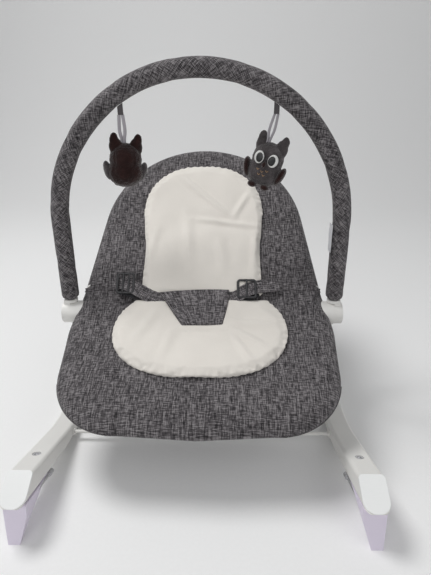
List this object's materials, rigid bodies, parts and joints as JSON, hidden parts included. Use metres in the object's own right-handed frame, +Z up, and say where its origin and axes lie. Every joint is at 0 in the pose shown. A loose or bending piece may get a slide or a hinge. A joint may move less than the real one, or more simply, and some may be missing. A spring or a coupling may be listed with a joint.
{
  "type": "bouncer seat",
  "caption": "Baby bouncer on rocker runners with fold-away stop feet, a reclining padded seat with waist harness, and a swinging toy bar with hanging plush toys.",
  "frame": {"origin": "on the floor under the middle of the object", "axes": "+Z up, +X to the sitter's left, +Y towards the backrest"},
  "size_m": [0.504, 0.58, 0.5842],
  "materials": {
    "white_plastic": "satin moulded plastic",
    "cap_plastic": "smooth moulded plastic",
    "foot_plastic": "lilac white moulded plastic",
    "steel_white": "white powder coat",
    "steel": "plated",
    "chrome": "polished",
    "grey_fabric": "mottled grey weave",
    "cream_velour": "soft velour",
    "grey_strap": "mottled grey weave",
    "black_plastic": "matt",
    "ribbon": "grosgrain",
    "plush_grey": "short plush",
    "plush_brown": "short plush",
    "label": "satin label"
  },
  "bodies": {
    "base": {"runner_left": "white_plastic", "strut_left": "steel_white", "hub_housing_left": "white_plastic", "hub_bolt_left": "steel", "hub_nut_left": "steel", "waist_strap_left": "grey_strap", "strap_slider_left": "black_plastic", "front_cap_left": "cap_plastic", "front_foot_hinge_left": "steel", "rear_cap_left": "cap_plastic", "rear_foot_hinge_left": "steel", "runner_right": "white_plastic", "strut_right": "steel_white", "hub_housing_right": "white_plastic", "hub_bolt_right": "steel", "hub_nut_right": "steel", "waist_strap_right": "grey_strap", "strap_slider_right": "black_plastic", "front_cap_right": "cap_plastic", "front_foot_hinge_right": "steel", "rear_cap_right": "cap_plastic", "rear_foot_hinge_right": "steel", "front_cross_rod": "steel_white", "rear_cross_rod": "steel_white", "runner_screws": "chrome", "seat_frame": "steel_white", "seat_cover": "grey_fabric", "seat_insert": "cream_velour", "crotch_piece": "grey_strap"},
    "backrest": {"back_arm_left": "white_plastic", "back_arm_right": "white_plastic", "back_frame": "steel_white", "back_cover": "grey_fabric", "back_insert": "cream_velour"},
    "toy_bar": {"bar_socket_left": "white_plastic", "toy_tab_left": "grey_fabric", "bar_socket_right": "white_plastic", "toy_tab_right": "grey_fabric", "toy_bar_tube": "steel_white", "toy_bar_sleeve": "grey_fabric", "care_label": "label"},
    "button_left": {"release_button_left": "cap_plastic", "button_spring_left": "steel"},
    "toy_left": {"toy_ribbon_left": "ribbon", "plush_owl_left": "plush_grey"},
    "front_foot_left": {"front_foot_left": "foot_plastic"},
    "rear_foot_left": {"rear_foot_left": "foot_plastic"},
    "button_right": {"release_button_right": "cap_plastic", "button_spring_right": "steel"},
    "toy_right": {"toy_ribbon_right": "ribbon", "plush_owl_right": "plush_brown"},
    "front_foot_right": {"front_foot_right": "foot_plastic"},
    "rear_foot_right": {"rear_foot_right": "foot_plastic"}
  },
  "joints": [
    {"name": "back_recline", "type": "hinge", "parent": "base", "child": "backrest", "pos_m": [0, 0.009, 0.188], "axis": [1, 0, 0], "range_deg": [-22, 8]},
    {"name": "toy_bar_swing", "type": "hinge", "parent": "base", "child": "toy_bar", "pos_m": [0, 0.009, 0.188], "axis": [1, 0, 0], "range_deg": [-18, 50]},
    {"name": "release_button_left", "type": "slide", "parent": "toy_bar", "child": "button_left", "axis": [-1, 0, 0], "range_m": [0, 0.002], "stiffness_N_per_m": 400, "springref_m": -0.001},
    {"name": "toy_swing_left", "type": "hinge", "parent": "toy_bar", "child": "toy_left", "pos_m": [0.116, 0.04405, 0.50845], "axis": [1, 0, 0], "range_deg": [-55, 55]},
    {"name": "front_foot_fold_left", "type": "hinge", "parent": "base", "child": "front_foot_left", "pos_m": [0.2212, -0.22, 0.03779], "axis": [0, 0.9428, -0.3332], "range_deg": [0, 80]},
    {"name": "rear_foot_fold_left", "type": "hinge", "parent": "base", "child": "rear_foot_left", "pos_m": [0.2212, 0.22, 0.03779], "axis": [0, 0.9428, 0.3332], "range_deg": [0, 80]},
    {"name": "release_button_right", "type": "slide", "parent": "toy_bar", "child": "button_right", "axis": [1, 0, 0], "range_m": [0, 0.002], "stiffness_N_per_m": 400, "springref_m": -0.001},
    {"name": "toy_swing_right", "type": "hinge", "parent": "toy_bar", "child": "toy_right", "pos_m": [-0.116, 0.04405, 0.50845], "axis": [1, 0, 0], "range_deg": [-55, 55]},
    {"name": "front_foot_fold_right", "type": "hinge", "parent": "base", "child": "front_foot_right", "pos_m": [-0.2212, -0.22, 0.03779], "axis": [0, -0.9428, 0.3332], "range_deg": [0, 80]},
    {"name": "rear_foot_fold_right", "type": "hinge", "parent": "base", "child": "rear_foot_right", "pos_m": [-0.2212, 0.22, 0.03779], "axis": [0, -0.9428, -0.3332], "range_deg": [0, 80]}
  ]
}
